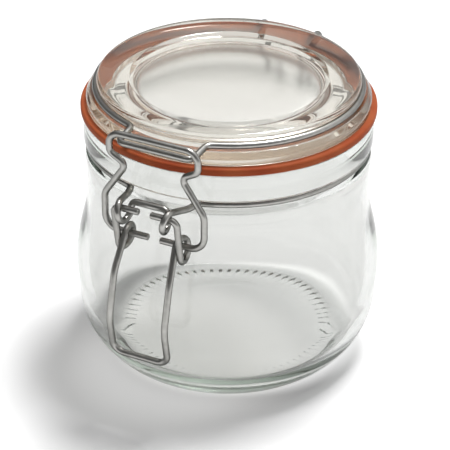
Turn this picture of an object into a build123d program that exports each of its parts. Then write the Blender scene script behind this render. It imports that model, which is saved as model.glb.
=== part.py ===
from build123d import *
import os
from math import acos, asin, atan2, cos, degrees, hypot, pi, radians, sin, tan

os.makedirs("parts", exist_ok=True)

# Clip-top preserving jar. The jar's axis is Z, it stands on z = 0, and the
# clamp is on the -Y side. All sizes in millimetres.

# --- rubber ring --------------------------------------------------------
# A bought ring: the mouth and the lid are made to its two diameters.
seal_radius = 52.3  # outer radius
seal_width = 10.3  # from the bore to the outer edge
seal_thickness = 2.9
seal_clearance = 0.1  # between ring and glass plug, and over and under it
seal_edge = 0.6

# --- glass body ---------------------------------------------------------
seal_overhang = 0.9  # the ring stands out past the collar
plug_clearance = 1.8  # between the lid's plug and the bore of the mouth
rim_height = 93.8  # sealing land, on which the rubber ring lies
collar_height = 10.5  # from the wire groove up to the sealing land
groove_height = 4.1  # between the bead and the collar, for the neck wire
bead_height = 4.2  # glass bead below the wire
neck_inset = 0.8  # the neck is this much narrower than the collar
neck_height = 11.0  # straight part of the neck
belly_bulge = 3.3  # widest place of the jar, past the collar
belly_height = 34.0  # its height over the ground
heel_height = 22.7  # soft slope between the bearing ring and the wall
heel_reach = 11.7  # how far that slope runs in from the wall
heel_lead_out = 4.1  # direction of the slope where it leaves the ground
heel_lead_up = 2.9
heel_pull = 11.9  # how softly it runs into the wall
heel_inset = 0.7  # the wall is this much narrower at the top of the heel
wall = 3.8  # thickness of the belly's wall
floor = 5.5  # thickness of the base inside the bearing ring
punt_depth = 1.4  # hollow under the base
bearing_width = 8.2  # of the ring that the jar stands on
knurl_count = 72  # ribs moulded into the bearing ring
knurl_length = 4.4
knurl_inset = 0.8  # from the inner edge of the ring to the ribs
knurl_radius = 0.7
knurl_depth = 0.35

# --- glass lid ----------------------------------------------------------
flange_inset = 2.0  # foot of the lid, inside the ring's outer edge
flange_height = 4.7
rim_inset = 3.7  # raised rim, inside the foot
lid_wire_lift = 6.2  # from the foot of the lid to the wire's centre
lid_rim_height = 4.1  # from the wire's centre to the crest of the rim
plug_depth = 1.2  # how far the plug reaches into the mouth
plug_wall = 5.9  # between the plug's face and the hollow under the lid
panel_margin = 12.0  # from the rim to the recessed panel in the middle
panel_recess = 2.4  # below the crest of the rim
panel_thickness = 4.4

# --- wire clamp ---------------------------------------------------------
wire_dia = 2.4
wire_clearance = 0.1  # between a wire and the glass or the pin it bears on
neck_wire_depth = 2.9  # depth of the groove below the collar's face
strand_gap = 0.1  # between two strands that lie side by side
pin_end = 2.3  # the cut ends of the pins stop this far from the middle

lever_pivot_out = 11.2  # lever's pivot in front of the collar
eye_radius = 3.5  # neck wire's eyes, to the middle of the wire
eye_drop = 1.2  # middle of the eyes below the neck wire
eye_inner_x = 7.0  # inner strand of an eye
eye_root_x = 12.8  # where the neck wire leaves its ring
bail_pivot_back = 6.7  # bail's pivot behind the lever's pivot
bail_pivot_drop = 13.2  # and below it
coil_radius = 4.0  # lever's coils round the bail's ends
bend_radius = 2.6  # tight bends of the clamp wire
ring_bend = 3.4  # where a wire leaves its ring
ring_lead = 4.3  # straight wire between ring and bend
leave_bend = 8.0  # where it rises to the eye, clear of the collar
bar_angle = 185.0  # where an eye ends, behind the pin

handle_out = 6.8  # foremost place of the handle, in front of the lever's pivot
handle_out_drop = 27.5  # its height below the bail's pivot
handle_low_out = 4.0  # bottom bar of the handle
handle_length = 41.8  # from the bail's pivot down to the bottom bar
handle_knee_out = 2.8
handle_knee_drop = 10.6
handle_x = 10.6  # half width of the handle
handle_corner = 4.0
knee_bend = 16.0  # radius of the two soft bends in the arms

bail_lean = 0.5  # bar over the nose, in front of the bail's pivot
bail_head_x = 16.8  # half width of the head
bail_waist_x = 10.3
bail_waist_height = 26.4  # over the bail's pivot
bail_foot_x = 19.0  # half width of the lower loop
bail_foot_height = 13.5
bail_cheek_height = 29.8
bail_foot_bend = 5.4
bail_hip_bend = 6.0
bail_head_bend = 2.8
bail_top_bend = 4.4

nose_gap_back = 1.0  # the nose lies this far behind the bail's bar
nose_gap_down = 3.8  # and this far below it
nose_dip = 0.8  # below the ring of the lid wire
nose_x = 14.0  # half width of the nose
nose_root_x = 14.2

hinge_out = 5.6  # rear hinge behind the collar
hinge_clearance = 0.2  # pin in the rear eyes
hinge_leg_x = 10.8
leg_shoulder = 0.6  # the legs run level this far past the foot of the lid
leg_drop = 9.0  # then slope down this far to stand over the hinge bar
leg_bend = 3.0
hinge_eye_turn = 240.0  # how far an eye goes round the hinge bar
cut_end = 0.6
hinge_eye_x = 5.6
hinge_end_gap = 0.8  # cut ends of the lid wire in the middle of the hinge bar

# --- places that follow from the sizes ----------------------------------
r_wire = wire_dia / 2
seal_bore = seal_radius - seal_width
plug_radius = seal_bore - seal_clearance
mouth_radius = plug_radius + plug_clearance
collar_radius = seal_radius - seal_overhang
neck_radius = collar_radius - neck_inset
belly_radius = collar_radius + belly_bulge
heel_top = belly_radius - heel_inset
bearing = heel_top - heel_reach
punt_radius = bearing - bearing_width
flange_radius = seal_radius - flange_inset
lid_radius = flange_radius - rim_inset
panel_radius = lid_radius - panel_margin
lid_hollow_radius = plug_radius - plug_wall

seal_bottom = rim_height
seal_top = seal_bottom + seal_thickness
lid_foot = seal_top + seal_clearance
collar_bottom = rim_height - collar_height
neck_top = collar_bottom - groove_height - bead_height
neck_wire_z = collar_bottom - r_wire - wire_clearance
groove_radius = collar_radius - neck_wire_depth
neck_ring = groove_radius + wire_clearance + r_wire
bead_radius = neck_ring + 0.9 * r_wire
lid_wire_z = lid_foot + lid_wire_lift
lid_groove = lid_radius - 1.0
lid_ring = lid_groove + wire_clearance + r_wire
lid_crest = lid_wire_z + lid_rim_height
plug_bottom = rim_height - plug_depth
panel_z = lid_crest - panel_recess
hollow_top = panel_z - panel_thickness

strand = wire_dia + strand_gap  # pitch of strands that lie side by side
eye_outer_x = eye_inner_x + strand
link_x = eye_outer_x + strand
arm_x = link_x - strand
eye_play = eye_radius - wire_dia - wire_clearance  # the pin bears on the eye's top
coil_play = coil_radius - wire_dia - wire_clearance
lever_pivot_reach = collar_radius + lever_pivot_out
bail_pivot_reach = lever_pivot_reach - bail_pivot_back
bail_bar_reach = bail_pivot_reach + bail_lean
hinge_reach = collar_radius + hinge_out
eye_z = neck_wire_z - eye_drop
lever_pivot_z = eye_z + eye_play
bail_pivot_z = lever_pivot_z - bail_pivot_drop
coil_z = bail_pivot_z - coil_play
hinge_eye = wire_dia + hinge_clearance
hinge_z = neck_wire_z - hinge_eye
coil_corners = 7

nose_z = lid_wire_z - nose_dip
nose_reach = bail_bar_reach - nose_gap_back
bail_bar_z = nose_z + nose_gap_down
bail_length = hypot(bail_lean, bail_bar_z - bail_pivot_z)
bail_tilt = asin(bail_lean / bail_length)


def loop(reach, z, radius, start, turn, x0, x1, corners):
    """Corner points of a wire that runs round a circle in the YZ plane.

    start is the polar angle of the first touching point, seen with forward
    to the right and up upwards. turn is signed, and x goes from x0 to x1.
    """
    step = turn / corners
    out = radius / cos(radians(step) / 2)
    points = []
    for k in range(corners):
        a = radians(start + (k + 0.5) * step)
        x = x0 + (x1 - x0) * (k + 0.5) / corners
        points.append((x, -(reach + out * cos(a)), z + out * sin(a)))
    return points


def touch(reach, z, radius, p_reach, p_z, side):
    """Polar angle at which a line from a point touches a circle."""
    d = hypot(p_reach - reach, p_z - z)
    toward = degrees(atan2(p_z - z, p_reach - reach))
    return toward + side * degrees(acos(radius / d))


def mirrored(points):
    """The same points on the other side of the middle plane."""
    return [(-x, y, z) for x, y, z in points]


def there_and_back(points):
    """A wire's half and its mirror image, as one run across the middle."""
    return points + mirrored(points)[::-1]


def ring_point(radius, angle, z, front):
    """Point of a ring at an angle from the front or the back middle."""
    y = -radius * cos(radians(angle)) if front else radius * cos(radians(angle))
    return (radius * sin(radians(angle)), y, z)


# --- jar body -----------------------------------------------------------
neck_bottom = neck_top - neck_height
with BuildPart() as jar_body:
    with BuildSketch(Plane.XZ) as body_section:
        with BuildLine():
            land = 0.8
            l1 = Polyline((0, punt_depth), (punt_radius - 1.5, punt_depth), (punt_radius, 0), (bearing, 0))
            l2 = Bezier(
                l1 @ 1,
                (bearing + heel_lead_out, heel_lead_up),
                (heel_top, heel_height - heel_pull),
                (heel_top, heel_height),
            )
            l3 = Spline(
                l2 @ 1,
                (belly_radius, belly_height),
                (neck_radius, neck_bottom),
                tangents=[(0, 1), (0, 1)],
            )
            l4 = Line(l3 @ 1, (neck_radius, neck_top - 1.0))
            l5 = Polyline(
                l4 @ 1,
                (bead_radius, neck_top + 0.6),
                (bead_radius, neck_top + bead_height - 1.0),
                (groove_radius + 0.5, neck_top + bead_height),
                (groove_radius, neck_top + bead_height + 0.6),
                (groove_radius, collar_bottom - 0.4),
                (groove_radius + 0.5, collar_bottom),
                (collar_radius - 0.5, collar_bottom),
                (collar_radius, collar_bottom + 0.6),
                (collar_radius, rim_height - land),
                (collar_radius - land, rim_height),
                (mouth_radius + land, rim_height),
                (mouth_radius, rim_height - land),
                (mouth_radius, collar_bottom + 1.0),
            )
            inner_neck = neck_radius - wall
            inner_wall = heel_top - wall
            inner_heel = heel_height + 1.0
            l6 = Bezier(
                l5 @ 1,
                (mouth_radius, collar_bottom - 5.0),
                (inner_neck, neck_top + 1.0),
                (inner_neck, neck_top - 6.0),
            )
            l7 = Spline(
                l6 @ 1,
                (belly_radius - wall, belly_height),
                (inner_wall, inner_heel),
                tangents=[(0, -1), (0, -1)],
            )
            l8 = Bezier(
                l7 @ 1,
                (inner_wall, inner_heel - heel_pull + 1.4),
                (inner_wall - heel_lead_out, floor),
                (inner_wall - heel_reach, floor),
            )
            l9 = Line(l8 @ 1, (0, floor))
            Line(l9 @ 1, l1 @ 0)
        make_face()
    revolve(axis=Axis.Z)
    # ribs of the bearing ring, sunk a little into the ground face
    with Locations(Location((0, 0, knurl_depth - knurl_radius))):
        with PolarLocations(punt_radius + knurl_inset + knurl_length / 2, knurl_count):
            Cylinder(
                knurl_radius,
                knurl_length,
                rotation=(0, 90, 0),
                mode=Mode.SUBTRACT,
            )
jar_body.part.label = "jar_body"
export_step(jar_body.part, "parts/jar_body.step")

# --- rubber ring --------------------------------------------------------
with BuildPart() as seal_ring:
    with BuildSketch(Plane.XZ):
        with BuildLine():
            Polyline(
                (seal_bore, seal_bottom),
                (seal_radius - seal_edge, seal_bottom),
                (seal_radius, seal_bottom + seal_edge),
                (seal_radius, seal_top - seal_edge),
                (seal_radius - seal_edge, seal_top),
                (seal_bore, seal_top),
                close=True,
            )
        make_face()
    revolve(axis=Axis.Z)
seal_ring.part.label = "seal_ring"
export_step(seal_ring.part, "parts/seal_ring.step")

# --- lid ----------------------------------------------------------------
with BuildPart() as lid:
    with BuildSketch(Plane.XZ):
        with BuildLine():
            top = Polyline(
                (0, panel_z),
                (panel_radius - 0.9, panel_z),
                (panel_radius + 0.5, panel_z + 1.1),
                (lid_radius - 3.6, lid_crest - 0.2),
            )
            roll = Spline(
                top @ 1,
                (lid_radius - 2.0, lid_crest),
                (lid_radius, lid_crest - 2.0),
                (lid_radius - 0.3, lid_wire_z + r_wire + 0.1),
            )
            side = Polyline(
                roll @ 1,
                (lid_groove, lid_wire_z + 0.5 * r_wire),
                (lid_groove, lid_wire_z - 0.5 * r_wire),
                (lid_groove + 0.6, lid_wire_z - r_wire - 0.3),
                (flange_radius - 1.6, lid_foot + flange_height),
                (flange_radius, lid_foot + 0.6 * flange_height),
                (flange_radius, lid_foot + 0.5),
                (flange_radius - 0.5, lid_foot),
                (plug_radius, lid_foot),
                (plug_radius, plug_bottom + 0.8),
                (plug_radius - 0.8, plug_bottom),
                (lid_hollow_radius + 1.5, plug_bottom),
                (lid_hollow_radius, plug_bottom + 1.5),
                (lid_hollow_radius - 1.2, hollow_top - 1.2),
                (lid_hollow_radius - 3.4, hollow_top),
                (0, hollow_top),
            )
            Line(side @ 1, top @ 0)
        make_face()
    revolve(axis=Axis.Z)
lid.part.label = "lid"
export_step(lid.part, "parts/lid.step")

# --- neck wire ----------------------------------------------------------
# One wire: an eye round the rear hinge bar, half the ring, a front eye, the
# straight bar between the eyes, and the same again on the other side.
eye_corners = 6
front_angle = degrees(asin((eye_root_x + ring_lead) / neck_ring))
front_start = ring_point(neck_ring, front_angle, neck_wire_z, True)
lead = (front_start[0] - eye_root_x) / cos(radians(front_angle))
front_root = (eye_root_x, front_start[1] - lead * sin(radians(front_angle)), neck_wire_z)
leave_reach = collar_radius + r_wire + 0.8
leave_share = (leave_reach + front_root[1]) / (lever_pivot_reach + front_root[1])
leave = (
    front_root[0] + (eye_outer_x - front_root[0]) * leave_share,
    -leave_reach,
    neck_wire_z,
)
eye_touch = touch(lever_pivot_reach, eye_z, eye_radius, leave_reach, neck_wire_z, -1)
eye_turn = eye_touch + 360 - bar_angle
eye_points = loop(
    lever_pivot_reach, eye_z, eye_radius, eye_touch, -eye_turn, eye_outer_x, eye_inner_x, eye_corners
)
bar_reach = (
    lever_pivot_reach
    + eye_radius * cos(radians(bar_angle))
    + bend_radius * sin(radians(bar_angle))
)
bar_z = eye_z + eye_radius * sin(radians(bar_angle)) - bend_radius * cos(radians(bar_angle))
front_half = [front_start, front_root, leave] + eye_points + [(eye_inner_x, -bar_reach, bar_z)]
front_radii = [ring_bend, leave_bend] + [eye_radius * 0.97] * eye_corners + [bend_radius * 0.9]

back_angle = degrees(asin((hinge_eye_x + ring_lead) / neck_ring))
back_start = ring_point(neck_ring, back_angle, neck_wire_z, False)
back_lead = (back_start[0] - hinge_eye_x) / cos(radians(back_angle))
back_root = (hinge_eye_x, back_start[1] + back_lead * sin(radians(back_angle)), neck_wire_z)
back_eye = loop(
    -hinge_reach, hinge_z, hinge_eye, 90, hinge_eye_turn, hinge_eye_x, hinge_eye_x, eye_corners
)
tip_angle = radians(90 + hinge_eye_turn)
back_tip = (
    hinge_eye_x,
    hinge_reach - hinge_eye * cos(tip_angle) + cut_end * sin(tip_angle),
    hinge_z + hinge_eye * sin(tip_angle) + cut_end * cos(tip_angle),
)
back_half = [back_start, back_root] + back_eye + [back_tip]
back_radii = [ring_bend] + [hinge_eye * 0.97] * eye_corners

with BuildPart() as neck_wire:
    with BuildLine() as neck_path:
        FilletPolyline(*back_half[::-1], radius=back_radii[::-1])
        ThreePointArc(back_start, (neck_ring, 0, neck_wire_z), front_start)
        FilletPolyline(*there_and_back(front_half), radius=front_radii + front_radii[::-1])
        ThreePointArc(
            mirrored([front_start])[0], (-neck_ring, 0, neck_wire_z), mirrored([back_start])[0]
        )
        FilletPolyline(*mirrored(back_half), radius=back_radii)
    path = neck_path.wires()[0]
    with BuildSketch(Plane(origin=path @ 0, z_dir=path % 0)):
        Circle(r_wire)
    sweep(path=path)
neck_wire.part.label = "neck_wire"
print("neck_wire", round(neck_wire.part.volume, 1), round(path.length * pi * r_wire**2, 1))
export_step(neck_wire.part, "parts/neck_wire.step")

# --- lid wire -----------------------------------------------------------
# A ring in the lid's groove that runs out into the nose in front. Behind, two
# legs slope down past the rubber ring to the hinge bar, where the cut ends meet.
nose_angle = degrees(asin((nose_root_x + ring_lead) / lid_ring))
nose_start = ring_point(lid_ring, nose_angle, lid_wire_z, True)
nose_lead = (nose_start[0] - nose_root_x) / cos(radians(nose_angle))
nose_root = (nose_root_x, nose_start[1] - nose_lead * sin(radians(nose_angle)), lid_wire_z)
nose_half = [nose_start, nose_root, (nose_x, -nose_reach, nose_z)]

leg_angle = degrees(asin((hinge_leg_x + ring_lead) / lid_ring))
leg_start = ring_point(lid_ring, leg_angle, lid_wire_z, False)
leg_lead = (leg_start[0] - hinge_leg_x) / cos(radians(leg_angle))
leg_half = [
    leg_start,
    (hinge_leg_x, leg_start[1] + leg_lead * sin(radians(leg_angle)), lid_wire_z),
    (hinge_leg_x, flange_radius + leg_shoulder, lid_wire_z),
    (hinge_leg_x, hinge_reach, lid_wire_z - leg_drop),
    (hinge_leg_x, hinge_reach, hinge_z),
    (hinge_end_gap / 2, hinge_reach, hinge_z),
]
leg_radii = [ring_bend, leg_bend, leg_bend, leg_bend]

with BuildPart() as lid_wire:
    with BuildLine() as lid_path:
        FilletPolyline(*leg_half[::-1], radius=leg_radii[::-1])
        ThreePointArc(leg_start, (lid_ring, 0, lid_wire_z), nose_start)
        FilletPolyline(
            *there_and_back(nose_half), radius=[ring_bend, bend_radius, bend_radius, ring_bend]
        )
        ThreePointArc(
            mirrored([nose_start])[0], (-lid_ring, 0, lid_wire_z), mirrored([leg_start])[0]
        )
        FilletPolyline(*mirrored(leg_half), radius=leg_radii)
    path = lid_path.wires()[0]
    with BuildSketch(Plane(origin=path @ 0, z_dir=path % 0)):
        Circle(r_wire)
    sweep(path=path)
lid_wire.part.label = "lid_wire"
print("lid_wire", round(lid_wire.part.volume, 1), round(path.length * pi * r_wire**2, 1))
export_step(lid_wire.part, "parts/lid_wire.step")

# --- bail ---------------------------------------------------------------
# An omega-shaped loop in one plane, with both ends turned in as pins.
bail_plane = [
    (pin_end, 0),
    (bail_foot_x, 0),
    (bail_foot_x, bail_foot_height),
    (bail_waist_x, bail_waist_height),
    (bail_head_x, bail_cheek_height),
    (bail_head_x, bail_length),
]
bail_half = [
    (x, -(bail_pivot_reach + h * sin(bail_tilt)), bail_pivot_z + h * cos(bail_tilt))
    for x, h in bail_plane
]
bail_radii = [bail_foot_bend, bail_hip_bend, bend_radius, bail_head_bend, bail_top_bend]

with BuildPart() as bail:
    with BuildLine() as bail_path:
        FilletPolyline(*there_and_back(bail_half), radius=bail_radii + bail_radii[::-1])
    path = bail_path.wires()[0]
    with BuildSketch(Plane(origin=path @ 0, z_dir=path % 0)):
        Circle(r_wire)
    sweep(path=path)
bail.part.label = "bail"
print("bail", round(bail.part.volume, 1), round(path.length * pi * r_wire**2, 1))
export_step(bail.part, "parts/bail.step")

# --- lever --------------------------------------------------------------
# The handle. Each arm makes a coil round an end of the bail, goes on up to an
# eye of the neck wire and turns in as the pivot pin.
knee = (lever_pivot_reach + handle_knee_out, bail_pivot_z - handle_knee_drop)
coil_in = touch(bail_pivot_reach, coil_z, coil_radius, knee[0], knee[1], 1)
coil_out = touch(bail_pivot_reach, coil_z, coil_radius, lever_pivot_reach, lever_pivot_z, -1)
coil_turn = coil_out + 360 - coil_in
coil_points = loop(
    bail_pivot_reach, coil_z, coil_radius, coil_in, coil_turn, arm_x, link_x, coil_corners
)
lever_half = (
    [(pin_end, -lever_pivot_reach, lever_pivot_z), (link_x, -lever_pivot_reach, lever_pivot_z)]
    + coil_points[::-1]
    + [
        (handle_x, -knee[0], knee[1]),
        (handle_x, -lever_pivot_reach - handle_out, bail_pivot_z - handle_out_drop),
        (handle_x, -lever_pivot_reach - handle_low_out, bail_pivot_z - handle_length),
    ]
)
lever_radii = [bend_radius] + [coil_radius * 0.97] * coil_corners + [knee_bend, knee_bend, handle_corner]

with BuildPart() as lever:
    with BuildLine() as lever_path:
        FilletPolyline(*there_and_back(lever_half), radius=lever_radii + lever_radii[::-1])
    path = lever_path.wires()[0]
    with BuildSketch(Plane(origin=path @ 0, z_dir=path % 0)):
        Circle(r_wire)
    sweep(path=path)
lever.part.label = "lever"
print("lever", round(lever.part.volume, 1), round(path.length * pi * r_wire**2, 1))
export_step(lever.part, "parts/lever.step")

print("lever pivot", lever_pivot_reach, round(lever_pivot_z, 3))
print("bail pivot", bail_pivot_reach, round(bail_pivot_z, 3))
print("hinge", -hinge_reach, round(hinge_z, 3))
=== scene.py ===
from math import acos, asin, atan2, ceil, cos, degrees, hypot, pi, radians, sin, tan

import bpy
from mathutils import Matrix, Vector
from mathutils.geometry import interpolate_bezier


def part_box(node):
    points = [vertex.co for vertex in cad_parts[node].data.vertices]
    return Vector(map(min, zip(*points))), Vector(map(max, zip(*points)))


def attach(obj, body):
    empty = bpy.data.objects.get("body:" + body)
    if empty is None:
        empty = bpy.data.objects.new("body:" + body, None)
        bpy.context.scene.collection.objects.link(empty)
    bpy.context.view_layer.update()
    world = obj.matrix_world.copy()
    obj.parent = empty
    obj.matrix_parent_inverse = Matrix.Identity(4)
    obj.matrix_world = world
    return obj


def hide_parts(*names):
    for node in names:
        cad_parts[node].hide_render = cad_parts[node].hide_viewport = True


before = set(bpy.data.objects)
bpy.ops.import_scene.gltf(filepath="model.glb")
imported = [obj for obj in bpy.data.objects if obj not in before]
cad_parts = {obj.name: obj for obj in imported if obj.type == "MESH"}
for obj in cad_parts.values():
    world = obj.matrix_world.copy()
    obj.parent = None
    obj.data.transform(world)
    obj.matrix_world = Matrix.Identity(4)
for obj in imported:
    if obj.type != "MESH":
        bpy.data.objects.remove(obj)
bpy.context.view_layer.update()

MM = 0.001

# --- Jar body -----------------------------------------------------------
# The pressed and blown soda-lime glass pot: a soft square-shouldered belly, a
# bead and a groove for the neck wire, and a collar with a flat sealing land.
# It stands on a narrow ring whose face carries fine moulded ribs.
_, jar_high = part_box("jar_body")
belly_radius = jar_high[0] / MM
rim_height = jar_high[2] / MM


def bent(points, radii, step=9):
    """A line with straight runs and a round bend of its own radius at each inner point."""
    points = [Vector(p) for p in points]
    line = [points[0]]
    for before, corner, after, radius in zip(points, points[1:], points[2:], radii):
        to_before = (before - corner).normalized()
        to_after = (after - corner).normalized()
        half = to_before.angle(to_after) / 2
        centre = corner + (to_before + to_after).normalized() * radius / sin(half)
        start = corner + to_before * radius / tan(half) - centre
        end = corner + to_after * radius / tan(half) - centre
        count = max(2, ceil(degrees(pi - 2 * half) / step))
        for k in range(count + 1):
            line.append(centre + start.slerp(end, k / count).normalized() * radius)
    line.append(points[-1])
    return line


def soft(start, start_handle, end_handle, end, count):
    """A smooth curve of a section between two points, pulled by two handles."""
    corners = [Vector((*point, 0)) for point in (start, start_handle, end_handle, end)]
    return [(p.x, p.y) for p in interpolate_bezier(*corners, count)]


def turned(name, section, steps=180):
    """A closed piece turned round the jar's axis from its section, given in millimetres."""
    bpy.ops.object.select_all(action="DESELECT")
    bpy.ops.mesh.primitive_plane_add(size=MM)
    piece = bpy.context.object
    piece.name = piece.data.name = name
    bpy.ops.object.mode_set(mode="EDIT")
    bpy.ops.mesh.select_all(action="SELECT")
    bpy.ops.mesh.merge(type="CENTER")
    here = Vector(section[0])
    bpy.ops.transform.translate(value=(here.x * MM, 0, here.y * MM))
    for point in section[1:]:
        move = Vector(point) - here
        bpy.ops.mesh.extrude_vertices_move(
            TRANSFORM_OT_translate={"value": (move.x * MM, 0, move.y * MM)}
        )
        here = Vector(point)
    bpy.ops.mesh.select_all(action="SELECT")
    bpy.ops.mesh.spin(steps=steps, angle=2 * pi, center=(0, 0, 0), axis=(0, 0, 1))
    bpy.ops.mesh.select_all(action="SELECT")
    # the turn ends where it began, and the section may begin and end on the axis
    bpy.ops.mesh.remove_doubles(threshold=0.002 * MM)
    bpy.ops.mesh.normals_make_consistent(inside=False)
    bpy.ops.object.mode_set(mode="OBJECT")
    bpy.ops.object.transform_apply(location=True, rotation=True, scale=True)
    bpy.ops.object.shade_smooth_by_angle(angle=radians(40))
    return piece


collar_radius = belly_radius - 3.3
collar_bottom = rim_height - 10.5
groove_radius = collar_radius - 2.9
bead_radius = groove_radius + 2.38
bead_top = collar_bottom - 4.1
bead_bottom = bead_top - 4.2
neck_radius = collar_radius - 0.8
neck_bottom = bead_bottom - 11.0
belly_height = 34.0
heel_height = 22.7
heel_reach = 11.7
heel_top = belly_radius - 0.7
bearing = heel_top - heel_reach
punt_radius = bearing - 8.2
punt_top = punt_radius - 16.0
punt_depth = 0.6
rib_count = 72
rib_depth = 0.2
rib_length = 4.4
rib_end = 0.4
rib_inner = punt_radius + 0.8
rib_outer = rib_inner + rib_length
floor_height = 5.5
floor_middle = 20.0
wall = 3.8
mouth_radius = 43.7
inner_wall = heel_top - wall
inner_heel = heel_height + 1.0
inner_runout = 15.0

# the section, outside from the middle of the base up to the mouth
outside = [(0, punt_depth)]
outside += soft(
    (punt_top, punt_depth),
    (punt_top + 8.0, punt_depth),
    (punt_radius - 5.0, 0),
    (punt_radius, 0),
    12,
)
rib_edges = (rib_inner - rib_end, rib_inner, rib_outer, rib_outer + rib_end)
outside += [(reach, 0) for reach in rib_edges]
outside += soft(
    (bearing, 0),
    (bearing + 4.1, 2.9),
    (heel_top, heel_height - 11.9),
    (heel_top, heel_height),
    24,
)
outside += soft(
    (heel_top, heel_height),
    (heel_top + 0.2, heel_height + 4.0),
    (belly_radius, belly_height - 4.0),
    (belly_radius, belly_height),
    8,
)[1:]
outside += soft(
    (belly_radius, belly_height),
    (belly_radius, belly_height + 13.5),
    (neck_radius, neck_bottom - 12.0),
    (neck_radius, neck_bottom),
    24,
)[1:]
rim = bent(
    [
        (neck_radius, neck_bottom + 0.5),
        (neck_radius, bead_bottom),
        (bead_radius, bead_bottom + 0.8),
        (bead_radius, bead_top - 0.6),
        (groove_radius, bead_top + 0.2),
        (groove_radius, collar_bottom),
        (collar_radius, collar_bottom),
        (collar_radius, rim_height),
        (mouth_radius, rim_height),
        (mouth_radius, collar_bottom + 1.0),
    ],
    [1.0, 0.7, 1.2, 0.8, 0.4, 0.6, 0.9, 1.0],
    15,
)
outside += [(p.x, p.y) for p in rim]
# and inside from the mouth down to the middle of the floor
inside = soft(
    (mouth_radius, collar_bottom + 1.0),
    (mouth_radius, collar_bottom - 5.0),
    (neck_radius - wall, bead_bottom + 1.0),
    (neck_radius - wall, bead_bottom - 6.0),
    12,
)[1:]
inside += soft(
    (neck_radius - wall, bead_bottom - 6.0),
    (neck_radius - wall, neck_bottom - 12.0),
    (belly_radius - wall, belly_height + 13.5),
    (belly_radius - wall, belly_height),
    24,
)[1:]
inside += soft(
    (belly_radius - wall, belly_height),
    (belly_radius - wall, belly_height - 4.0),
    (inner_wall + 0.2, inner_heel + 4.0),
    (inner_wall, inner_heel),
    8,
)[1:]
inside += soft(
    (inner_wall, inner_heel),
    (inner_wall, inner_heel - 10.5),
    (inner_wall - 4.1, floor_height),
    (inner_wall - inner_runout, floor_height),
    24,
)[1:]
inside += [(floor_middle, floor_height), (0, floor_height)]
steps_per_rib = 6
jar_glass = turned("jar_glass", outside + inside, rib_count * steps_per_rib)
# the ribs are pressed up into the face that the jar stands on
bpy.ops.object.mode_set(mode="EDIT")
bpy.ops.mesh.select_all(action="DESELECT")
bpy.ops.object.mode_set(mode="OBJECT")
for vertex in jar_glass.data.vertices:
    reach = hypot(vertex.co.x, vertex.co.y) / MM
    step = round(atan2(vertex.co.y, vertex.co.x) / (2 * pi) * rib_count * steps_per_rib)
    on_face = rib_inner - 0.1 < reach < rib_outer + 0.1 and vertex.co.z < 0.01 * MM
    vertex.select = on_face and step % steps_per_rib in (0, 1)
bpy.ops.object.mode_set(mode="EDIT")
bpy.ops.transform.translate(value=(0, 0, rib_depth * MM))
bpy.ops.object.mode_set(mode="OBJECT")
bpy.ops.object.shade_smooth_by_angle(angle=radians(30))
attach(jar_glass, "jar")
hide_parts("jar_body")


def linear(hex_colour):
    """An sRGB hex colour as the linear values that a shader takes."""
    values = [int(hex_colour[i : i + 2], 16) / 255 for i in (1, 3, 5)]
    return [v / 12.92 if v <= 0.04045 else ((v + 0.055) / 1.055) ** 2.4 for v in values] + [1.0]


def add_node(material, kind, links=(), **settings):
    """One node with its settings, and links from other nodes' outputs to its inputs."""
    tree = material.node_tree
    node = tree.nodes.new(kind)
    for name, value in settings.items():
        if hasattr(node, name):
            setattr(node, name, value)
        else:
            node.inputs[name.replace("_", " ")].default_value = value
    for source, output, target in links:
        tree.links.new(source.outputs[output], node.inputs[target])
    return node


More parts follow.
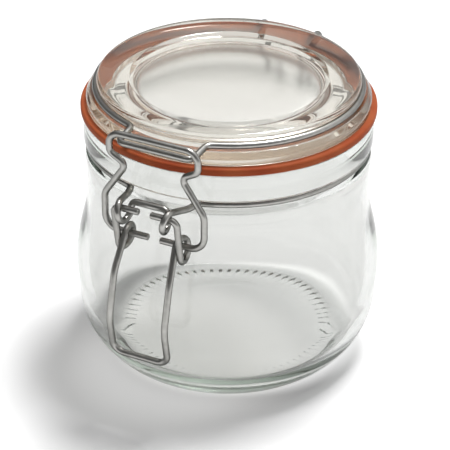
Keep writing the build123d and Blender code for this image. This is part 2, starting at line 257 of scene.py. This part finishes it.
def pressed_glass(name, tint, side_tint, depth_tint, density):
    """Clear glass with a skin that is a little wavy from the mould."""
    glass = bpy.data.materials.new(name)
    glass.use_nodes = True
    place = add_node(glass, "ShaderNodeTexCoord")
    mould_wave = 22.0  # slow waves, as metal moulds leave them
    waves = add_node(
        glass,
        "ShaderNodeTexNoise",
        [(place, "Object", "Vector")],
        Scale=1 / (mould_wave * MM),
        Detail=1.0,
    )
    bump = add_node(
        glass, "ShaderNodeBump", [(waves, "Fac", "Height")], Strength=0.25, Distance=0.3 * MM
    )
    skin = glass.node_tree.nodes["Principled BSDF"]
    skin.inputs["Transmission Weight"].default_value = 1.0
    skin.inputs["Roughness"].default_value = 0.0
    skin.inputs["IOR"].default_value = 1.5
    glass.node_tree.links.new(bump.outputs["Normal"], skin.inputs["Normal"])
    # seen along its wall, the glass shows greyer
    slant = add_node(glass, "ShaderNodeLayerWeight")
    side = add_node(
        glass, "ShaderNodeMapRange", [(slant, "Facing", "Value")], From_Min=0.45, From_Max=0.8
    )
    tone = add_node(
        glass,
        "ShaderNodeMix",
        [(side, "Result", "Factor")],
        data_type="RGBA",
        A=linear(tint),
        B=linear(side_tint),
    )
    glass.node_tree.links.new(tone.outputs["Result"], skin.inputs["Base Color"])
    # the glass takes up a little light, which shows where light runs far in it
    depth = add_node(
        glass, "ShaderNodeVolumeAbsorption", Color=linear(depth_tint), Density=density
    )
    # light for other things goes straight through, less at a slant, where glass turns it away
    ray = add_node(glass, "ShaderNodeLightPath")
    lighting = add_node(
        glass,
        "ShaderNodeMath",
        [(ray, "Is Shadow Ray", 0), (ray, "Is Diffuse Ray", 1)],
        operation="MAXIMUM",
    )
    let_through = add_node(
        glass,
        "ShaderNodeMapRange",
        [(slant, "Facing", "Value")],
        From_Min=0.12,
        From_Max=0.9,
        To_Min=1.0,
        To_Max=0.8,
    )
    clear = add_node(glass, "ShaderNodeBsdfTransparent", [(let_through, "Result", "Color")])
    clear.name = "light through the glass"
    mix = add_node(
        glass, "ShaderNodeMixShader", [(lighting, "Value", 0), (skin, 0, 1), (clear, 0, 2)]
    )
    out = glass.node_tree.nodes["Material Output"]
    glass.node_tree.links.new(mix.outputs[0], out.inputs["Surface"])
    glass.node_tree.links.new(depth.outputs["Volume"], out.inputs["Volume"])
    return glass


# Pressed and blown soda-lime glass: clear, with a faint green in the thick
# places from the iron in the sand.
jar_clear = pressed_glass("pressed soda-lime glass", "#EEEEED", "#DCDCDB", "#CBD9CD", 14.0)
jar_glass.data.materials.append(jar_clear)


def axis_reach(material):
    """How far a point of a material lies from the jar's axis, in metres."""
    place = add_node(material, "ShaderNodeTexCoord")
    flat = add_node(
        material, "ShaderNodeVectorMath", [(place, "Object", 0)], operation="MULTIPLY"
    )
    flat.inputs[1].default_value = (1, 1, 0)
    return add_node(material, "ShaderNodeVectorMath", [(flat, "Vector", 0)], operation="LENGTH")


def dimmed(glass, near, far, least):
    """Less light through a glass out from the jar's axis, where its shape bends light away."""
    reach = axis_reach(glass)
    bends = add_node(
        glass,
        "ShaderNodeMapRange",
        [(reach, "Value", "Value")],
        From_Min=near * MM,
        From_Max=far * MM,
        To_Min=1.0,
        To_Max=least,
    )
    clear = glass.node_tree.nodes["light through the glass"]
    slanted = clear.inputs["Color"].links[0].from_node
    both = add_node(
        glass,
        "ShaderNodeMath",
        [(bends, "Result", 0), (slanted, "Result", 1)],
        operation="MULTIPLY",
    )
    glass.node_tree.links.new(both.outputs["Value"], clear.inputs["Color"])


# the heel and the walls turn light aside
dimmed(jar_clear, bearing - 4.0, bearing + 1.0, 0.64)

# --- Lid ----------------------------------------------------------------
# The pressed glass lid: a plug that sits in the mouth, a foot on the rubber,
# a groove for the lid wire, and a rolled rim round a recessed panel.
lid_low, lid_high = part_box("lid")
lid_crest = lid_high[2] / MM
lid_foot = rim_height + 3.0
flange_radius = lid_high[0] / MM
lid_radius = flange_radius - 3.7
lid_wire_z = lid_foot + 6.2
panel_z = lid_crest - 2.4
panel_radius = lid_radius - 12.0
hollow_top = panel_z - 4.4
plug_radius = 41.9
plug_bottom = lid_low[2] / MM
hollow_radius = plug_radius - 5.9
panel_inner = 16.0
panel_middle = 20.0
crest_width = 3.8
crest_fall = 0.75
wire_groove = 1.0
shelf_z = lid_foot + 4.7
flange_edge_z = lid_foot + 2.8

# each corner of the section, with the radius of its fillet
lid_edge = [
    ((panel_radius - 0.9, panel_z), 0.8),
    ((panel_radius + 0.5, panel_z + 1.1), 1.4),
    ((lid_radius - crest_width, lid_crest), 7.0),
    ((lid_radius - 0.1, lid_crest - crest_fall), 1.7),
    ((lid_radius, lid_wire_z + 1.4), 0.5),
    ((lid_radius - wire_groove, lid_wire_z + 0.5), 0.5),
    ((lid_radius - wire_groove, lid_wire_z - 0.9), 0.5),
    ((lid_radius - 0.4, shelf_z), 0.4),
    ((flange_radius - 1.6, shelf_z), 1.0),
    ((flange_radius, flange_edge_z), 1.6),
    ((flange_radius, lid_foot), 0.5),
    ((plug_radius, lid_foot), 0.3),
    ((plug_radius, plug_bottom), 0.9),
    ((hollow_radius + 0.4, plug_bottom), 2.2),
    ((hollow_radius - 1.6, hollow_top), 4.6),
]
lid_points = [(panel_middle, panel_z)] + [corner for corner, _ in lid_edge]
lid_points += [(panel_middle, hollow_top)]
lid_section = [(0, panel_z), (panel_inner, panel_z)]
lid_section += [(p.x, p.y) for p in bent(lid_points, [radius for _, radius in lid_edge], 12)]
lid_section += [(0, hollow_top)]
lid_glass = turned("lid_glass", lid_section)
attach(lid_glass, "lid")
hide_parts("lid")

# Pressed soda-lime glass, a little warmer than the jar's. The plunger leaves
# the underside of the panel finely rippled: only soft shapes show through it.
lid_clear = pressed_glass("pressed glass of the lid", "#F6F5F1", "#F2F1EC", "#EAD5B4", 12.0)
panel_inside = add_node(
    lid_clear,
    "ShaderNodeMapRange",
    [(axis_reach(lid_clear), "Value", "Value")],
    From_Min=(hollow_radius - 4.0) * MM,
    From_Max=(hollow_radius - 1.0) * MM,
    To_Min=0.2,
    To_Max=0.0,
)
panel_place = add_node(lid_clear, "ShaderNodeTexCoord")
panel_height = add_node(lid_clear, "ShaderNodeSeparateXYZ", [(panel_place, "Object", "Vector")])
panel_under = add_node(
    lid_clear, "ShaderNodeMath", [(panel_height, "Z", 0)], operation="LESS_THAN"
)
panel_under.inputs[1].default_value = (panel_z - 2.0) * MM
panel_ripple = add_node(
    lid_clear,
    "ShaderNodeMath",
    [(panel_inside, "Result", 0), (panel_under, "Value", 1)],
    operation="MULTIPLY",
)
lid_skin = lid_clear.node_tree.nodes["Principled BSDF"]
lid_clear.node_tree.links.new(panel_ripple.outputs["Value"], lid_skin.inputs["Roughness"])
# the thick round rim turns light away from the rubber under it
dimmed(lid_clear, hollow_radius, hollow_radius + 2.0, 0.75)
lid_glass.data.materials.append(lid_clear)

# --- Rubber ring --------------------------------------------------------
# The flat moulded sealing ring of orange-brown natural rubber, held between
# the land of the jar and the foot of the lid, with a slightly rounded edge.
ring_low, ring_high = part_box("seal_ring")
ring_radius = ring_high[0] / MM
ring_bottom = ring_low[2] / MM
ring_top = ring_high[2] / MM
ring_bore = 42.2
air_film = 0.03  # between the rubber and the glass
ring_section = bent(
    [
        (ring_bore, ring_bottom + 1.0),
        (ring_bore, ring_bottom + air_film),
        (ring_radius, ring_bottom + air_film),
        (ring_radius, ring_top - air_film),
        (ring_bore, ring_top - air_film),
        (ring_bore, ring_bottom + 1.0),
    ],
    [0.3, 0.9, 0.9, 0.3],
    15,
)
rubber_ring = turned("rubber_ring", [(p.x, p.y) for p in ring_section])
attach(rubber_ring, "lid")
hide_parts("seal_ring")

# Moulded natural rubber: matt, with faint darker clouds. Its grain of about a
# tenth of a millimetre is drawn coarser here, so that it shows.
rubber = bpy.data.materials.new("moulded natural rubber")
rubber.use_nodes = True
rubber_cloud_size = 9.0
rubber_grain_size = 0.6
rubber_place = add_node(rubber, "ShaderNodeTexCoord")
rubber_cloud = add_node(
    rubber,
    "ShaderNodeTexNoise",
    [(rubber_place, "Object", "Vector")],
    Scale=1 / (rubber_cloud_size * MM),
    Detail=3.0,
)
rubber_colour = add_node(rubber, "ShaderNodeValToRGB", [(rubber_cloud, "Fac", "Fac")])
rubber_colour.color_ramp.elements[0].position = 0.3
rubber_colour.color_ramp.elements[0].color = linear("#9B4526")
rubber_colour.color_ramp.elements[1].position = 0.75
rubber_colour.color_ramp.elements[1].color = linear("#AA5A34")
# painted shade: where the lid's foot presses on it, the rubber is painted browner and darker, for
# the shade under the lid's glass
rubber_out_from_painted_shade = add_node(
    rubber,
    "ShaderNodeMapRange",
    [(axis_reach(rubber), "Value", "Value")],
    From_Min=(flange_radius - 1.2) * MM,
    From_Max=(flange_radius + 0.2) * MM,
)
rubber_tone_and_painted_shade = add_node(
    rubber,
    "ShaderNodeMix",
    [(rubber_out_from_painted_shade, "Result", "Factor"), (rubber_colour, "Color", "B")],
    data_type="RGBA",
    A=linear("#9A5526"),
)
rubber_grain = add_node(
    rubber,
    "ShaderNodeTexNoise",
    [(rubber_place, "Object", "Vector")],
    Scale=1 / (rubber_grain_size * MM),
    Detail=2.0,
)
rubber_bump = add_node(
    rubber, "ShaderNodeBump", [(rubber_grain, "Fac", "Height")], Strength=0.3, Distance=0.05 * MM
)
rubber_skin = rubber.node_tree.nodes["Principled BSDF"]
rubber_skin.inputs["Roughness"].default_value = 0.6
rubber_skin.inputs["Specular IOR Level"].default_value = 0.12
rubber.node_tree.links.new(rubber_tone_and_painted_shade.outputs["Result"], rubber_skin.inputs["Base Color"])
rubber.node_tree.links.new(rubber_bump.outputs["Normal"], rubber_skin.inputs["Normal"])
rubber_ring.data.materials.append(rubber)

# --- Neck wire ----------------------------------------------------------
# One length of hard-drawn galvanised wire round the neck. In front it rises
# out of its groove and makes an eye on each side of the middle, joined by a
# short bar; behind, both ends curl round the hinge bar.
wire_dia = 2.4
wire_gap = 0.1
strand = wire_dia + wire_gap
bend_radius = 2.6
tight_bend = bend_radius * 0.9
coil_bend = 0.97  # share of a coil's radius at its corners
ring_bend = 3.4
ring_lead = 4.3
leave_bend = 8.0
collar_clear = 0.8
neck_ring = groove_radius + wire_gap + wire_dia / 2
neck_wire_z = collar_bottom - wire_gap - wire_dia / 2
eye_z = neck_wire_z - 1.2
lever_pivot = (62.6, eye_z + 1.0)  # forward reach and height


def coil(reach, height, radius, start, turn, x0, x1, corners):
    """Corner points of wire that runs round a circle seen from the side."""
    step = turn / corners
    out = radius / cos(radians(step) / 2)
    return [
        (
            x0 + (x1 - x0) * (k + 0.5) / corners,
            -(reach + out * cos(radians(start + (k + 0.5) * step))),
            height + out * sin(radians(start + (k + 0.5) * step)),
        )
        for k in range(corners)
    ]


def touch(reach, height, radius, p_reach, p_height, side):
    """Angle at which a line from a point touches a circle seen from the side."""
    span = hypot(p_reach - reach, p_height - height)
    toward = degrees(atan2(p_height - height, p_reach - reach))
    return toward + side * degrees(acos(radius / span))


def both_sides(half, middle=()):
    """Half a wire and its mirror image as one run, with what lies between them."""
    return half + [tuple(p) for p in middle] + [(-x, y, z) for x, y, z in half[::-1]]


def round_ring(radius, height, start, end, step=3):
    """Points round a ring, angles in degrees from the front middle."""
    count = ceil(abs(end - start) / step)
    return [
        (
            radius * sin(radians(start + (end - start) * k / count)),
            -radius * cos(radians(start + (end - start) * k / count)),
            height,
        )
        for k in range(count + 1)
    ]


def off_ring(radius, height, x, behind=False):
    """The angle and the place at which a wire leaves its ring, and the bend at x that follows."""
    slope = degrees(asin((x + ring_lead) / radius))
    angle = 180 - slope if behind else slope
    start = round_ring(radius, height, angle, angle + 1)[0]
    rise = (start[0] - x) / cos(radians(slope)) * sin(radians(slope))
    return angle, start, (x, start[1] + (rise if behind else -rise), height)


def drawn_wire(name, line):
    """A round wire along a line given in millimetres, with filed ends."""
    points = [Vector(p) * MM for p in line]
    run = [p for i, p in enumerate(points) if i == 0 or (p - points[i - 1]).length > 0.01 * MM]
    curve = bpy.data.curves.new(name, "CURVE")
    curve.dimensions = "3D"
    curve.bevel_depth = wire_dia / 2 * MM
    curve.bevel_resolution = 6
    curve.use_fill_caps = True
    filed = 0.25 * MM
    filed_share = 0.8
    first = run[0] + (run[1] - run[0]).normalized() * filed
    last = run[-1] + (run[-2] - run[-1]).normalized() * filed
    run = [run[0], first] + run[1:-1] + [last, run[-1]]
    spline = curve.splines.new("POLY")
    spline.points.add(len(run) - 1)
    for point, place in zip(spline.points, run):
        point.co = (*place, 1)
    spline.points[0].radius = spline.points[-1].radius = filed_share
    piece = bpy.data.objects.new(name, curve)
    bpy.context.collection.objects.link(piece)
    bpy.ops.object.select_all(action="DESELECT")
    piece.select_set(True)
    bpy.context.view_layer.objects.active = piece
    bpy.ops.object.convert(target="MESH")
    piece = bpy.context.object
    bpy.ops.object.mode_set(mode="EDIT")
    bpy.ops.mesh.select_all(action="SELECT")
    bpy.ops.mesh.remove_doubles(threshold=0.001 * MM)
    bpy.ops.mesh.normals_make_consistent(inside=False)
    bpy.ops.object.mode_set(mode="OBJECT")
    bpy.ops.object.shade_smooth_by_angle(angle=radians(40))
    return piece


eye_radius = 3.5
eye_corners = 6
eye_inner_x = 7.0
eye_outer_x = eye_inner_x + strand
eye_root_x = 12.8
bar_angle = 185.0
front_angle, front_start, front_root = off_ring(neck_ring, neck_wire_z, eye_root_x)
leave_reach = collar_radius + wire_dia / 2 + collar_clear
leave_share = (leave_reach + front_root[1]) / (lever_pivot[0] + front_root[1])
leave = (front_root[0] + (eye_outer_x - front_root[0]) * leave_share, -leave_reach, neck_wire_z)
eye_touch = touch(lever_pivot[0], eye_z, eye_radius, leave_reach, neck_wire_z, -1)
eye_turn = eye_touch + 360 - bar_angle
bar_forward, bar_up = cos(radians(bar_angle)), sin(radians(bar_angle))
bar_reach = lever_pivot[0] + eye_radius * bar_forward + bend_radius * bar_up
bar_z = eye_z + eye_radius * bar_up - bend_radius * bar_forward
front_half = [front_start, front_root, leave]
front_half += coil(
    lever_pivot[0],
    eye_z,
    eye_radius,
    eye_touch,
    -eye_turn,
    eye_outer_x,
    eye_inner_x,
    eye_corners,
)
front_half += [(eye_inner_x, -bar_reach, bar_z)]
front_radii = [ring_bend, leave_bend] + [eye_radius * coil_bend] * eye_corners + [tight_bend]

hinge_reach = collar_radius + 5.6
hinge_eye = wire_dia + 0.2
hinge_z = neck_wire_z - hinge_eye
hinge_eye_x = 5.6
hinge_turn = 240.0
hinge_corners = 6
cut_end = 0.6
back_angle, back_start, back_root = off_ring(neck_ring, neck_wire_z, hinge_eye_x, behind=True)
tip_angle = radians(90 + hinge_turn)
back_tip = (
    hinge_eye_x,
    hinge_reach - hinge_eye * cos(tip_angle) + cut_end * sin(tip_angle),
    hinge_z + hinge_eye * sin(tip_angle) + cut_end * cos(tip_angle),
)
back_half = [back_start, back_root]
back_half += coil(
    -hinge_reach, hinge_z, hinge_eye, 90, hinge_turn, hinge_eye_x, hinge_eye_x, hinge_corners
)
back_half += [back_tip]
back_line = bent(back_half, [ring_bend] + [hinge_eye * coil_bend] * hinge_corners)
neck_half = [tuple(p) for p in back_line[::-1]]
neck_half += round_ring(neck_ring, neck_wire_z, back_angle, front_angle)[1:-1]
neck_front = bent(both_sides(front_half), front_radii + front_radii[::-1])
neck_piece = drawn_wire("neck_clip_wire", both_sides(neck_half, neck_front))
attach(neck_piece, "jar")
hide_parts("neck_wire")

# Hard-drawn galvanised steel wire: dull grey zinc, clouded by its crystals,
# which are a few millimetres long and break up its gloss.
wire_steel = bpy.data.materials.new("galvanised drawn wire")
wire_steel.use_nodes = True
wire_cloud_size = 2.2
wire_place = add_node(wire_steel, "ShaderNodeTexCoord")
wire_cloud = add_node(
    wire_steel,
    "ShaderNodeTexNoise",
    [(wire_place, "Object", "Vector")],
    Scale=1 / (wire_cloud_size * MM),
    Detail=3.0,
)
wire_colour = add_node(wire_steel, "ShaderNodeValToRGB", [(wire_cloud, "Fac", "Fac")])
wire_colour.color_ramp.elements[0].position = 0.3
wire_colour.color_ramp.elements[0].color = linear("#ACABA7")
wire_colour.color_ramp.elements[1].position = 0.7
wire_colour.color_ramp.elements[1].color = linear("#C0BFBB")
# painted shade: the wire's colour is painted darker where it turns away from the eye, for the dark
# reflections along its edges; the zinc itself is dull
wire_turn = add_node(wire_steel, "ShaderNodeLayerWeight")
wire_painted_edge_shade = add_node(
    wire_steel,
    "ShaderNodeMapRange",
    [(wire_turn, "Facing", "Value")],
    From_Min=0.15,
    From_Max=0.75,
)
wire_tone_and_painted_edge_shade = add_node(
    wire_steel,
    "ShaderNodeMix",
    [(wire_painted_edge_shade, "Result", "Factor"), (wire_colour, "Color", "A")],
    data_type="RGBA",
    B=linear("#4A4A46"),
)
wire_gloss = add_node(
    wire_steel, "ShaderNodeMapRange", [(wire_cloud, "Fac", "Value")], To_Min=0.26, To_Max=0.34
)
wire_bump = add_node(
    wire_steel, "ShaderNodeBump", [(wire_cloud, "Fac", "Height")], Strength=0.06, Distance=0.05 * MM
)
wire_skin = wire_steel.node_tree.nodes["Principled BSDF"]
wire_skin.inputs["Metallic"].default_value = 1.0
wire_steel.node_tree.links.new(wire_tone_and_painted_edge_shade.outputs["Result"], wire_skin.inputs["Base Color"])
wire_steel.node_tree.links.new(wire_gloss.outputs["Result"], wire_skin.inputs["Roughness"])
wire_steel.node_tree.links.new(wire_bump.outputs["Normal"], wire_skin.inputs["Normal"])
neck_piece.data.materials.append(wire_steel)

# --- Lid wire -----------------------------------------------------------
# The same wire in the groove of the lid. In front it runs out into a flat
# nose for the bail; behind, two legs drop to the hinge bar, where the cut
# ends meet.
lid_ring = lid_radius - wire_groove + wire_gap + wire_dia / 2
nose_root_x = 14.2
nose_x = 14.0
nose_reach = 55.4
nose_z = lid_wire_z - 0.8
nose_angle, nose_start, nose_root = off_ring(lid_ring, lid_wire_z, nose_root_x)
nose_line = bent(
    both_sides([nose_start, nose_root, (nose_x, -nose_reach, nose_z)]),
    [ring_bend, bend_radius, bend_radius, ring_bend],
)
leg_x = 10.8
leg_shelf = 0.6  # out from the flange to where the leg turns down
leg_fall = 9.0
leg_bend = 3.0
cut_gap = 0.4  # half the gap between the cut ends
leg_angle, leg_start, leg_root = off_ring(lid_ring, lid_wire_z, leg_x, behind=True)
leg_line = bent(
    [
        leg_start,
        leg_root,
        (leg_x, flange_radius + leg_shelf, lid_wire_z),
        (leg_x, hinge_reach, lid_wire_z - leg_fall),
        (leg_x, hinge_reach, hinge_z),
        (cut_gap, hinge_reach, hinge_z),
    ],
    [ring_bend, leg_bend, leg_bend, leg_bend],
)
lid_half = [tuple(p) for p in leg_line[::-1]]
lid_half += round_ring(lid_ring, lid_wire_z, leg_angle, nose_angle)[1:-1]
lid_piece = drawn_wire("lid_clip_wire", both_sides(lid_half, nose_line))
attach(lid_piece, "lid")
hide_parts("lid_wire")
lid_piece.data.materials.append(wire_steel)

# --- Bail ---------------------------------------------------------------
# The omega-shaped link that pulls the lid down: its bar lies over the nose
# and its two feet turn in, through the coils of the lever.
bail_pivot = (lever_pivot[0] - 6.7, lever_pivot[1] - 13.2)  # forward reach and height
bail_lean = 0.5
over_nose = 3.8
bail_length = hypot(bail_lean, nose_z + over_nose - bail_pivot[1])
bail_tilt = asin(bail_lean / bail_length)
pin_end = 2.3
hip_x = 19.0
hip_up = 13.5
waist_x = 10.3
waist_up = 26.4
head_x = 16.8
head_up = 29.8
# half of the link in its own plane: sideways, and up from its feet
bail_plane = [
    (pin_end, 0),
    (hip_x, 0),
    (hip_x, hip_up),
    (waist_x, waist_up),
    (head_x, head_up),
    (head_x, bail_length),
]
bail_half = [
    (x, -(bail_pivot[0] + up * sin(bail_tilt)), bail_pivot[1] + up * cos(bail_tilt))
    for x, up in bail_plane
]
bail_radii = [5.4, 6.0, bend_radius, 2.8, 4.4]
bail_piece = drawn_wire("bail_loop", bent(both_sides(bail_half), bail_radii + bail_radii[::-1]))
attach(bail_piece, "bail")
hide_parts("bail")
bail_piece.data.materials.append(wire_steel)

# --- Lever --------------------------------------------------------------
# The handle: one wire whose arms each coil once round a foot of the bail and
# then turn in, through the eyes of the neck wire, as the pivot pins.
coil_radius = 4.0
coil_corners = 7
coil_z = bail_pivot[1] - 1.5
link_x = eye_outer_x + strand
handle_x = 10.6
# the arms' bends below the coils, and the bar of the grip: forward reach and height
knee = (lever_pivot[0] + 2.8, bail_pivot[1] - 10.6)
shin = (lever_pivot[0] + 6.8, bail_pivot[1] - 27.5)
grip = (lever_pivot[0] + 4.0, bail_pivot[1] - 41.8)
arm_bend = 16.0
grip_bend = 4.0
coil_in = touch(bail_pivot[0], coil_z, coil_radius, knee[0], knee[1], 1)
coil_out = touch(bail_pivot[0], coil_z, coil_radius, lever_pivot[0], lever_pivot[1], -1)
lever_coil = coil(
    bail_pivot[0],
    coil_z,
    coil_radius,
    coil_in,
    coil_out + 360 - coil_in,
    link_x - strand,
    link_x,
    coil_corners,
)
lever_half = [(x, -lever_pivot[0], lever_pivot[1]) for x in (pin_end, link_x)]
lever_half += lever_coil[::-1]
lever_half += [(handle_x, -reach, height) for reach, height in (knee, shin, grip)]
lever_radii = [bend_radius] + [coil_radius * coil_bend] * coil_corners
lever_radii += [arm_bend, arm_bend, grip_bend]
lever_line = bent(both_sides(lever_half), lever_radii + lever_radii[::-1])
lever_piece = drawn_wire("lever_handle", lever_line)
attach(lever_piece, "lever")
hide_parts("lever")
lever_piece.data.materials.append(wire_steel)

# --- Floor, light and camera --------------------------------------------
# A sheet of white paper under soft daylight from above, a little behind and
# to the right, with a dimmer room in front, which wires and glass mirror.
bpy.ops.object.select_all(action="DESELECT")
ground_width = 6.0
ground_gap = 0.2  # so that the jar's foot and the paper don't share a plane
bpy.ops.mesh.primitive_plane_add(size=ground_width, location=(0, 0, -ground_gap * MM))
ground = bpy.context.object
ground.name = "ground"
ground_white = bpy.data.materials.new("white paper")
ground_white.use_nodes = True
ground_skin = ground_white.node_tree.nodes["Principled BSDF"]
ground_skin.inputs["Base Color"].default_value = linear("#F4F4F4")
ground_skin.inputs["Roughness"].default_value = 0.9
ground_skin.inputs["Specular IOR Level"].default_value = 0.0
ground_skin.inputs["Emission Color"].default_value = (1, 1, 1, 1)
ground_ray = add_node(ground_white, "ShaderNodeLightPath")
ground_lift = add_node(
    ground_white, "ShaderNodeMath", [(ground_ray, "Is Camera Ray", 0)], operation="MULTIPLY"
)
ground_lift.inputs[1].default_value = 0.1
# painted light: the paper glows under the jar, round the disc of light that comes down
# through the lid, for the light that the jar's glass gathers on the paper there
under_middle = (2.0, 6.0)
disc_middle = (-7.0, -30.0)
disc_inner = 19.0
disc_outer = 46.0
ground_place = add_node(ground_white, "ShaderNodeTexCoord")
ground_reach = add_node(
    ground_white, "ShaderNodeVectorMath", [(ground_place, "Object", 0)], operation="DISTANCE"
)
ground_reach.inputs[1].default_value = Vector((*under_middle, 0)) * MM
painted_light_under_jar = add_node(
    ground_white,
    "ShaderNodeMapRange",
    [(ground_reach, "Value", "Value")],
    interpolation_type="SMOOTHSTEP",
    From_Min=(bearing - 2.0) * MM,
    From_Max=(bearing + 8.0) * MM,
    To_Min=1.0,
    To_Max=0.0,
)
ground_away = add_node(
    ground_white, "ShaderNodeVectorMath", [(ground_place, "Object", 0)], operation="DISTANCE"
)
ground_away.inputs[1].default_value = Vector((*disc_middle, 0)) * MM
painted_light_round_disc = add_node(
    ground_white,
    "ShaderNodeMapRange",
    [(ground_away, "Value", "Value")],
    interpolation_type="SMOOTHSTEP",
    From_Min=disc_inner * MM,
    From_Max=disc_outer * MM,
    To_Min=0.0,
    To_Max=0.6,
)
painted_light_pool = add_node(
    ground_white,
    "ShaderNodeMath",
    [(painted_light_under_jar, "Result", 0), (painted_light_round_disc, "Result", 1)],
    operation="MULTIPLY",
)
# the paper's glow: the even lift for the eye, plus the painted pool of light under the jar
ground_lift_and_painted_light = add_node(
    ground_white,
    "ShaderNodeMath",
    [(ground_lift, "Value", 0), (painted_light_pool, "Value", 1)],
    operation="ADD",
)
ground_white.node_tree.links.new(
    ground_lift_and_painted_light.outputs["Value"], ground_skin.inputs["Emission Strength"]
)
ground.data.materials.append(ground_white)

# The room is brighter behind the jar than in front of it. Seen through the
# glass it is white, mirrored it shows its dim side, and as light it is soft.
world = bpy.data.worlds.new("studio")
bpy.context.scene.world = world
world.use_nodes = True
bright_side = Vector((0.3, 0.75, 0.6)).normalized()
sky = add_node(world, "ShaderNodeTexCoord")
sky_way = add_node(
    world, "ShaderNodeVectorMath", [(sky, "Generated", 0)], operation="DOT_PRODUCT"
)
sky_way.inputs[1].default_value = bright_side
sky_light = add_node(
    world,
    "ShaderNodeMapRange",
    [(sky_way, "Value", "Value")],
    From_Min=-0.4,
    To_Min=0.24,
    To_Max=0.49,
)
sky_mirror = add_node(
    world,
    "ShaderNodeMapRange",
    [(sky_way, "Value", "Value")],
    From_Min=0.0,
    To_Min=0.1,
    To_Max=1.0,
)
sky_ray = add_node(world, "ShaderNodeLightPath")
sky_seen = add_node(
    world, "ShaderNodeMath", [(sky_ray, "Diffuse Depth", 0)], operation="LESS_THAN"
)
sky_seen.inputs[1].default_value = 0.5
sky_in_sight = add_node(
    world,
    "ShaderNodeMix",
    [(sky_ray, "Is Glossy Ray", "Factor"), (sky_mirror, "Result", "B")],
    A=1.0,
)
sky_strength = add_node(
    world,
    "ShaderNodeMix",
    [(sky_seen, "Value", "Factor"), (sky_light, "Result", "A"), (sky_in_sight, "Result", "B")],
)
room = world.node_tree.nodes["Background"]
room.inputs["Color"].default_value = (1, 1, 1, 1)
world.node_tree.links.new(sky_strength.outputs["Result"], room.inputs["Strength"])
# light meets many faces of glass before it leaves the jar
bpy.context.scene.cycles.max_bounces = 32
bpy.context.scene.cycles.glossy_bounces = 24
bpy.context.scene.cycles.transmission_bounces = 32
bpy.context.scene.cycles.transparent_max_bounces = 32

window_place = Vector((0.24, 1.02, 3.08))
window_aim = Vector((0, 0, 0.05))
window_width = 0.8
window_watts = 98
window = bpy.data.objects.new("window", bpy.data.lights.new("window", "AREA"))
window.data.size = window_width
window.data.energy = window_watts
window.location = window_place
window.rotation_euler = (window_aim - window_place).to_track_quat("-Z", "Y").to_euler()
bpy.context.collection.objects.link(window)

camera_place = Vector((0.3372, -0.6787, 0.4852))
camera_aim = Vector((-0.0009, -0.0005, 0.0452))
camera_roll = 0.48
camera_lens = 193.2
camera = bpy.data.objects.new("camera", bpy.data.cameras.new("camera"))
bpy.context.collection.objects.link(camera)
camera.location = camera_place
camera.rotation_euler = (camera_aim - camera_place).to_track_quat("-Z", "Y").to_euler()
camera.rotation_euler.rotate_axis("Z", radians(camera_roll))
camera.data.sensor_width = 36.0
camera.data.lens = camera_lens
camera.data.clip_start = 0.05
camera.data.clip_end = 20.0
bpy.context.scene.camera = camera
bpy.context.scene.view_settings.view_transform = "Standard"
